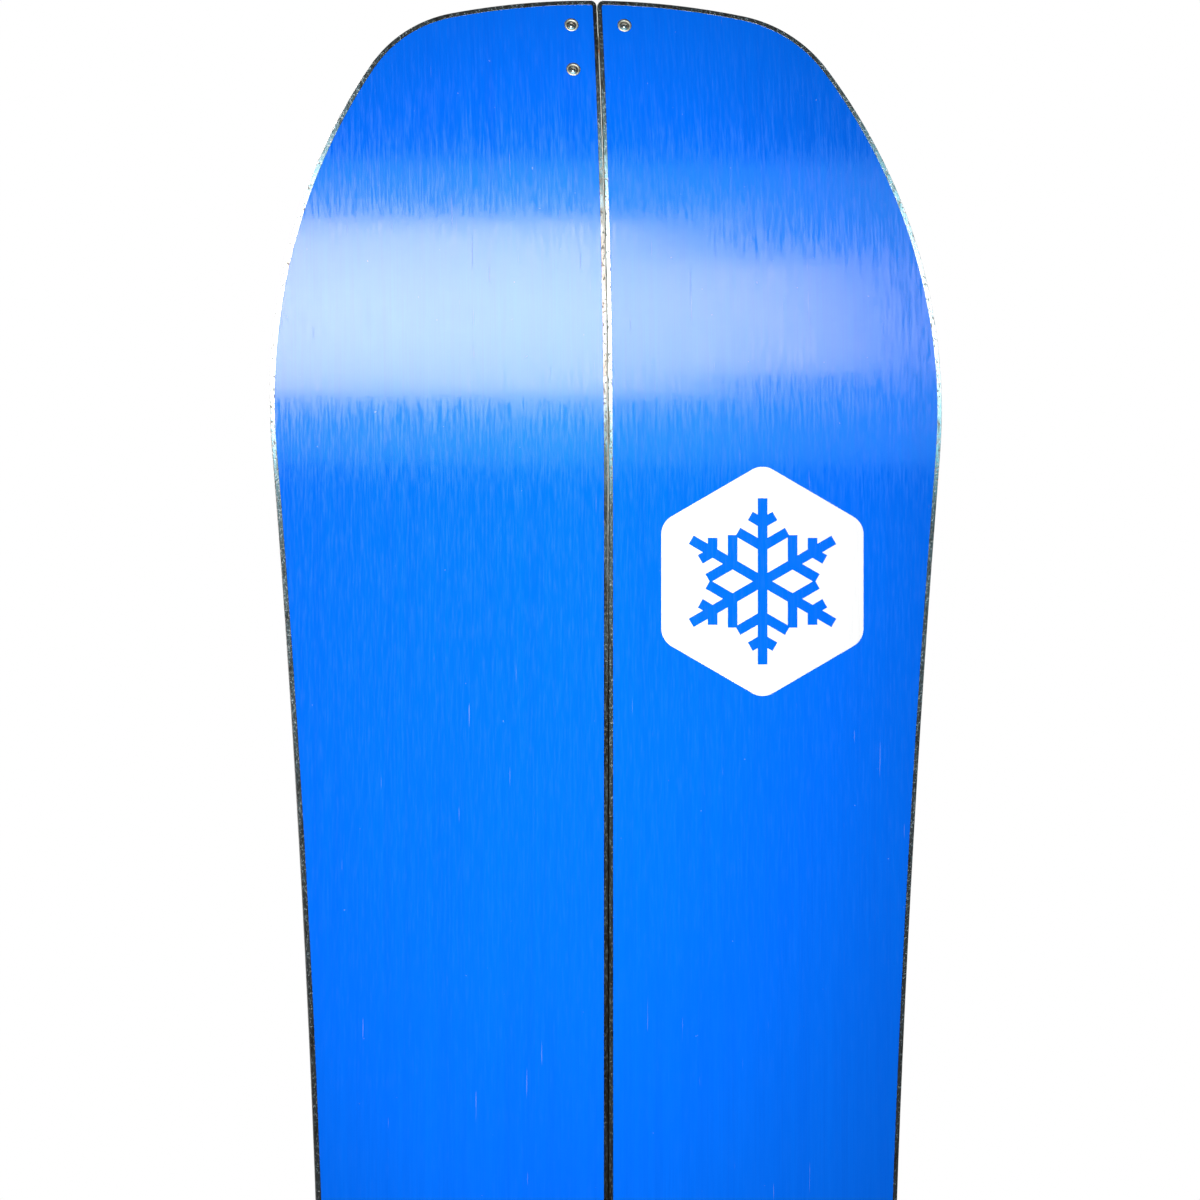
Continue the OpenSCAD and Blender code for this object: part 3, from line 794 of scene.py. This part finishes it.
def base_sheet(name, side):
    outline = ring_of(half_path(EDGE_W, SEAM_INSIDE, 1))
    holes = clip_holes(side, 0, BUSH_PLAY)
    marks = [ring_of(hexagon_loop())] + crystal_bars() if side == RIGHT else []

    def keep(points):
        hit = inside(points, outline) & ~in_hole(points, holes)
        return hit & ~in_inlay(points) if side == RIGHT else hit

    sheet = plate(outline, holes + marks, BASE_FACE, BASE_TOP, keep=keep)
    piece = show(name + "_base_sheet", sheet.mesh(name + "_base", side), name + "_base")
    piece.visible_diffuse = False


def base_inlay():
    outline = ring_of(hexagon_loop())
    sheet = plate(
        outline, crystal_bars(), BASE_FACE, BASE_TOP, keep=in_inlay, spacing=INLAY_SPACING)
    show("base_inlay", sheet.mesh("inlay"), "emblem").visible_diffuse = False


def outer_edge(name, side):
    outside = clipped(half_path(0, SEAM_INSIDE, 0), 0, SEAM_INSIDE - 1e-9, np.inf)
    within = clipped(half_path(EDGE_W, 0, 0), 0, SEAM_INSIDE, np.inf)
    edge = plate(ring_of(outside, within[::-1]), [], BASE_FACE, CORE_FLOOR, bevel=EDGE_BEVEL)
    show(name + "_outer_edge", edge.mesh(name + "_edge", side), "edge")


def inner_edge(name, side):
    outline = ring_of(clipped(half_path(), 0, -np.inf, SEAM_INSIDE))
    edge = plate(outline, [], BASE_FACE, CORE_FLOOR, bevel=SEAM_EDGE_BEVEL)
    show(name + "_inner_edge", edge.mesh(name + "_seam_edge", side), name + "_seam_edge")


def tip_spacer(name, side, end):
    limits = (-np.inf, FLAT_Y[0]) if end == NOSE else (FLAT_Y[1], np.inf)
    outline = ring_of(clipped(half_path(), 1, *limits))
    holes = clip_holes(side, CORE_BOTTOM)
    part = f"{name}_{'nose' if end == NOSE else 'tail'}_spacer"
    own_holes = [h for h in holes if h[0][1] * end > 0]
    spacer = plate(outline, own_holes, CORE_FLOOR, CORE_TOP, bevel=INNER_BEVEL)
    show(part, spacer.mesh(part, side), "spacer")


def outer_sidewall(name, side):
    paths = clipped(half_path(), 1, *FLAT_Y), clipped(half_path(WALL_W, 0, 0), 1, *FLAT_Y)
    outside, within = (p[p[:, 0] > WALL_W + SEAM_X] for p in paths)
    wall = plate(ring_of(outside, within[::-1]), [], CORE_FLOOR, CORE_TOP, bevel=WALL_BEVEL)
    show(name + "_outer_sidewall", wall.mesh(name + "_wall", side), "sidewall")


def inner_sidewall(name, side):
    x0, x1 = SEAM_X, SEAM_X + WALL_W
    y0, y1 = FLAT_Y
    outline = ring_of(np.array([(x0, y0), (x1, y0), (x1, y1), (x0, y1)]))
    wall = plate(outline, [], CORE_FLOOR, CORE_TOP, bevel=INNER_BEVEL)
    show(name + "_inner_sidewall", wall.mesh(name + "_seam_wall", side), "sidewall")


def upper_laminate(name, side):
    holes = clip_holes(side, CORE_BOTTOM + TIP_CORE_T + UPPER_T) + insert_holes()
    sheet = plate(HALF_OUTLINE, holes, CORE_TOP, LAMINATE_TOP)
    show(name + "_upper_laminate", sheet.mesh(name + "_glass", side), "laminate")


def top_sheet(name, side):
    holes = clip_holes(side, TIP_T) + insert_holes()
    sheet = plate(HALF_OUTLINE, holes, LAMINATE_TOP, BOARD_TOP, bevel=TOP_BEVEL)
    show(name + "_top_sheet", sheet.mesh(name + "_top", side), "top_sheet")


# ---- The hardware ----

BOLT_R, BOLT_HEAD_R = 1.9, 4
BUSH_RECESS, BOLT_RECESS = 0.15, 0.8
CATCH_TOP, LEVER_Z, LEVER_T = 2.2, 2.6, 3
PIVOT_R, PIVOT_HEAD_R, PIVOT_CROWN_R, PIVOT_HEAD_T, PIVOT_BEVEL = 3, 5.2, 4.2, 1.8, 0.8
PIVOT_HEX_R, PIVOT_HEX_DEPTH = 2.3, 1.2
WASHER_R = 6.6
FOOT_GAP, SLIDE_PLAY = 0.3, 0.1
INSERT_LEN = CORE_T + UPPER_T + TOP_T
INSERT_FLOOR_T, INSERT_FLANGE_R, INSERT_FLANGE_T = 0.5, 8, 1
HOOK_T, HOOK_SCREW_LEN, HOOK_SCREW_R, HOOK_SCREW_HEAD_R = 2, 5, 2.9, 4.8
# A countersunk head's hex socket, as a share of the head
HEX_SHARE = 0.55
# Steps round each kind of turned piece
INSERT_STEPS, BOLT_STEPS, PIVOT_STEPS = 36, 48, 56
# Eased edges of the pieces taken from the CAD, in metres
HOOK_EASE, CATCH_EASE, LEVER_EASE = 0.0003, 0.0004, 0.0005


def thread(r, z0, z1, pitch=0.7, depth=0.18):
    """Ridges and grooves from z0 to z1 on a rod of radius r, or in a bore if depth is under 0."""
    n = max(2, round(abs(z1 - z0) / pitch))
    step = (z1 - z0) / n
    profile = []
    for i in range(n):
        profile += [(r, z0 + i * step), (r - depth, z0 + (i + 0.5) * step)]
    return profile + [(r, z1)]


def socket(z, r, depth):
    """A hex key's socket, from its rim at z down to its floor, closed at the middle."""
    floor_z = z - depth
    return [(r * 1.12, z), (r, z - 0.1, 1), (r * 0.98, floor_z, 1),
            (r * 0.5, floor_z - 0.25), (0, floor_z - 0.3)]


def on_clip(side, end, row):
    """Where a bolt or bush stands on a tip clip."""
    return clip_place(end, side, CLIP_X, row)


def on_deck(side, point):
    """Where an insert or screw stands on the flat deck."""
    x, y = point
    return Matrix.Translation(Vector((side * x, y, BOARD_T)) * MM)


def clip_bushes(name, side):
    """Threaded bushes through the tips, with a flat lip on the base."""
    low, bore = BUSH_RECESS - TIP_T, BOLT_R + 0.08
    lip = [(bore, low + 0.4), (bore + 0.08, low + 0.16), (bore + 0.26, low + 0.03),
           (bore + 0.5, low), (BUSH_R - 0.3, low + 0.02), (BUSH_R - 0.1, low + 0.12),
           (BUSH_R, low + 0.35)]
    profile = lip + [(BUSH_R, -0.25), (BUSH_R - 0.25, 0), (bore + 0.2, 0)]
    profile += thread(bore, -0.25, low + 0.4, 0.5, -0.1)[:-1] + [lip[0]]
    parts = [(on_clip(side, end, row), profile) for end, row in clip_rows(side)]
    show(name + "_clip_bushes", turned(name + "_bushes", parts, BOLT_STEPS), "bush")


def bolt_end(z, r):
    """The end of a bolt seen from the base: a shallow dome, then the start of its thread."""
    return [(0, z), (r * 0.25, z + 0.02), (r * 0.42, z + 0.08), (r * 0.52, z + 0.2),
            (r * 0.6, z + 0.42), (r - 0.12, z + 0.5)]


def flat_head(top, r, head_r):
    """A countersunk head with a hex socket."""
    cone = [(r, top - (head_r - r)), (head_r - 0.05, top - 0.12), (head_r - 0.12, top - 0.02)]
    return cone + [(head_r - 0.4, top)] + socket(top, head_r * HEX_SHARE, 1.0)


def catch_screws():
    low = BOLT_RECESS - TIP_T
    profile = bolt_end(low, BOLT_R) + thread(BOLT_R, low + 0.6, 0.4)
    profile += flat_head(CATCH_TOP, BOLT_R, BOLT_HEAD_R)
    parts = [(on_clip(LEFT, end, row), profile) for end, row in clip_rows(LEFT)]
    show("catch_screws", turned("catch_bolts", parts, BOLT_STEPS), "steel")


def pivot_screw(name, end):
    """A shoulder screw: thread, plain shoulder that the lever turns on, and a domed head."""
    low, head = BOLT_RECESS - TIP_T, LEVER_Z + LEVER_T + SLIDE_PLAY
    crown = head + PIVOT_HEAD_T
    profile = bolt_end(low, BOLT_R) + thread(BOLT_R, low + 0.6, FOOT_GAP - 0.1)
    profile += [(PIVOT_R - 0.1, FOOT_GAP), (PIVOT_R, FOOT_GAP + 0.1), (PIVOT_R, head)]
    profile += [(PIVOT_HEAD_R - 0.15, head), (PIVOT_HEAD_R, head + 0.15)]
    profile += [(PIVOT_HEAD_R, crown - PIVOT_BEVEL), (PIVOT_HEAD_R - 0.3, crown - 0.36)]
    profile += [(PIVOT_CROWN_R, crown - 0.06), (PIVOT_CROWN_R - 0.6, crown)]
    profile += socket(crown, PIVOT_HEX_R, PIVOT_HEX_DEPTH)
    parts = [(on_clip(RIGHT, end, -CLIP_PITCH / 2), profile)]
    show(name, turned(name + "_skin", parts, PIVOT_STEPS), "steel")


def inserts(name, side, points):
    """Threaded inserts: a chamfered mouth in the top sheet, a bore and a flange in the core."""
    low, flange = -INSERT_LEN, INSERT_FLANGE_T - INSERT_LEN
    bore_floor = INSERT_FLOOR_T - INSERT_LEN
    profile = [(0, low), (INSERT_FLANGE_R - 0.2, low), (INSERT_FLANGE_R, low + 0.2),
               (INSERT_FLANGE_R, flange), (INSERT_R, flange), (INSERT_R, -0.12),
               (INSERT_R - 0.12, 0), (INSERT_BORE_R + 0.35, 0)]
    profile += thread(INSERT_BORE_R, -0.35, bore_floor + 0.4, 0.9, -0.16)
    profile += [(INSERT_BORE_R - 0.2, bore_floor), (0, bore_floor)]
    parts = [(on_deck(side, p), profile) for p in points]
    show(name, turned(name + "_skin", parts, INSERT_STEPS), "steel")


def hook_screws(name, side):
    profile = bolt_end(-HOOK_SCREW_LEN, HOOK_SCREW_R)
    profile += thread(HOOK_SCREW_R, -HOOK_SCREW_LEN + 0.6, -0.2, 0.8)
    profile += flat_head(HOOK_T, HOOK_SCREW_R, HOOK_SCREW_HEAD_R)
    parts = [(on_deck(side, p), profile) for p in hook_points()]
    show(name, turned(name + "_skin", parts, BOLT_STEPS), "black_steel")


def washers():
    low, high, bore = FOOT_GAP, LEVER_Z - SLIDE_PLAY, PIVOT_R + 0.1
    profile = [(bore, low), (WASHER_R - 0.25, low), (WASHER_R, low + 0.25), (WASHER_R, high - 0.25),
               (WASHER_R - 0.25, high), (bore, high), (bore, low)]
    parts = [(on_clip(RIGHT, end, -CLIP_PITCH / 2), profile) for end in (NOSE, TAIL)]
    show("pivot_washers", turned("washers_skin", parts, PIVOT_STEPS), "washer")


def build_board():
    for name, side in SIDES.items():
        base_sheet(name, side)
        outer_edge(name, side)
        inner_edge(name, side)
        outer_sidewall(name, side)
        inner_sidewall(name, side)
        upper_laminate(name, side)
        top_sheet(name, side)
        finish_cad(name + "_lower_laminate", "laminate")
        finish_cad(name + "_wood_core", "core")
        for end in (NOSE, TAIL):
            tip_spacer(name, side, end)
    base_inlay()


def build_hardware():
    for name, side in SIDES.items():
        clip_bushes(name, side)
        inserts(name + "_binding_inserts", side, foot_points())
        inserts(name + "_touring_inserts", side, touring_points())
        inserts(name + "_hook_inserts", side, hook_points())
        hook_screws(name + "_hook_screws", side)
        for place in ("front", "rear"):
            finish_cad(f"{place}_{name}_hook", "hook", HOOK_EASE)
    for place, end in (("nose", NOSE), ("tail", TAIL)):
        pivot_screw(place + "_pivot_screw", end)
        finish_cad(place + "_catch", "clip", CATCH_EASE)
        finish_cad(place + "_lever", "lever", LEVER_EASE)
    catch_screws()
    washers()


# ---- The studio ----

# The main view's camera: its yaw and field in degrees, its distance and aim in metres
VIEW_YAW = 6.42
VIEW_DISTANCE = 2.8
VIEW_AIM = Vector((-0.0038, 0.2703 - TIP_Y * MM, 0))
VIEW_FIELD = 10.86
# Distance below the base of the panels that it mirrors, in metres
PANEL_DROP = 2.2
FLOOR_HALF, FLOOR_DROP = 6, 0.0005
# The floor fades out between these distances from the board's middle
FLOOR_FADE = (1.3, 3.2)
# How bright the room around the board is; the camera sees white in its place
ROOM_LIGHT = 0.03


def photographer():
    """The camera, looking up at the nose's base, nose at the top, a few degrees from square."""
    yaw = math.radians(VIEW_YAW)
    right, up = Vector((math.cos(yaw), 0, -math.sin(yaw))), Vector((0, -1, 0))
    back = right.cross(up)
    lens = bpy.data.cameras.new("photographer")
    lens.angle = math.radians(VIEW_FIELD)
    lens.clip_start, lens.clip_end = 0.05, 60
    camera = bpy.data.objects.new("photographer", lens)
    camera.matrix_world = Matrix.Translation(VIEW_AIM + back * VIEW_DISTANCE) @ \
        Matrix((right, up, back)).transposed().to_4x4()
    bpy.context.scene.collection.objects.link(camera)
    bpy.context.scene.camera = camera


def softbox(name, place, aim, size, power, diffuse=True, glossy=True, colour=(1, 1, 1)):
    """A rectangular lamp of that size in metres, aimed at a point."""
    lamp = bpy.data.lights.new(name, "AREA")
    lamp.shape = "RECTANGLE"
    lamp.size, lamp.size_y = size
    lamp.energy = power
    lamp.color = colour
    box = bpy.data.objects.new(name, lamp)
    back = (Vector(place) - Vector(aim)).normalized()
    up = back.cross(Vector((1, 0, 0))).normalized()
    turn = Matrix((up.cross(back), up, back)).transposed().to_4x4()
    box.matrix_world = Matrix.Translation(Vector(place)) @ turn
    box.visible_diffuse, box.visible_glossy = diffuse, glossy
    lamp.cycles.use_multiple_importance_sampling = glossy
    box.visible_camera = False
    bpy.context.scene.collection.objects.link(box)
    return box


def floor():
    """A pale floor that fades out far from the board.

    It is seen only from above, so that the base can be seen from below.
    """
    n = Nodes("pale_floor")
    grain = n.noise((30, 30, 30), 3)
    pale = n.blend(grain, grey(0.8), grey(0.84))
    paint = n.new("BsdfPrincipled", {"Base Color": pale, "Roughness": 0.8})
    clear = n.new("BsdfTransparent")
    back = n.new("NewGeometry").outputs["Backfacing"]
    far = n.new("VectorMath", {0: n.place}, operation="LENGTH").outputs["Value"]
    hidden = n.math("MAXIMUM", back, n.band(far, *FLOOR_FADE))
    mix = n.new("MixShader", {0: hidden, 1: paint.outputs[0], 2: clear.outputs[0]})
    n.tree.links.new(mix.outputs[0], n.output.inputs["Surface"])
    mesh = bpy.data.meshes.new("floor")
    corners = [(FLOOR_HALF * x, FLOOR_HALF * y, 0) for x, y in ((-1, -1), (1, -1), (1, 1), (-1, 1))]
    mesh.from_pydata(corners, [], [(0, 1, 2, 3)])
    mesh.materials.append(n.material)
    plane = bpy.data.objects.new("floor", mesh)
    plane.location.z = -FLOOR_DROP
    plane.visible_diffuse = plane.visible_glossy = False
    plane.visible_transmission = plane.visible_shadow = False
    bpy.context.scene.collection.objects.link(plane)


def surroundings():
    """White behind the board for the camera, and a dim room for all that the board reflects."""
    world = bpy.data.worlds.new("studio")
    world.use_nodes = True
    tree = world.node_tree
    tree.nodes.clear()
    path = tree.nodes.new("ShaderNodeLightPath")
    white = tree.nodes.new("ShaderNodeBackground")
    dim = tree.nodes.new("ShaderNodeBackground")
    for backdrop, strength in ((white, 1.0), (dim, ROOM_LIGHT)):
        backdrop.inputs[0].default_value = grey(1)
        backdrop.inputs[1].default_value = strength
    mix = tree.nodes.new("ShaderNodeMixShader")
    out = tree.nodes.new("ShaderNodeOutputWorld")
    tree.links.new(path.outputs["Is Camera Ray"], mix.inputs[0])
    tree.links.new(dim.outputs[0], mix.inputs[1])
    tree.links.new(white.outputs[0], mix.inputs[2])
    tree.links.new(mix.outputs[0], out.inputs[0])
    bpy.context.scene.world = world
    bpy.context.scene.view_settings.view_transform = "Standard"


def nose_panel(name, angles, xs, brightness, colour=(1, 1, 1)):
    """A panel that the nose's bend mirrors to the camera, between two angles off straight down."""
    y0, y1 = (VIEW_AIM.y - PANEL_DROP * math.tan(math.radians(a)) for a in angles)
    middle = ((xs[0] + xs[1]) / 2, (y0 + y1) / 2)
    size = (xs[1] - xs[0], y0 - y1)
    power = brightness * math.pi * size[0] * size[1]
    softbox(name, (*middle, -PANEL_DROP), (*middle, 0), size, power, diffuse=False, colour=colour)


def lamps():
    nose_panel("nose_panel", (14, 32), (-0.6, 0.34), 9.5)
    nose_panel("nose_panel_core", (16.5, 28), (-0.6, 0.47), 9)
    nose_panel("nose_panel_rim", (7, 38), (-0.6, 0.7), 2.4, (0.2, 0.8, 1))
    under_nose = (-0.03, -0.56)
    softbox("base_key", (*under_nose, -0.28), (*under_nose, 0), (0.06, 0.8), 2.5, glossy=False)
    softbox("top_key", (-1.4, -1.2, 2.2), (0, 0, 0), (1.6, 1.6), 95)
    softbox("top_fill", (1.8, 1.4, 1.8), (0, 0, 0), (1.6, 1.6), 50)


build_board()
build_hardware()
photographer()
floor()
surroundings()
lamps()
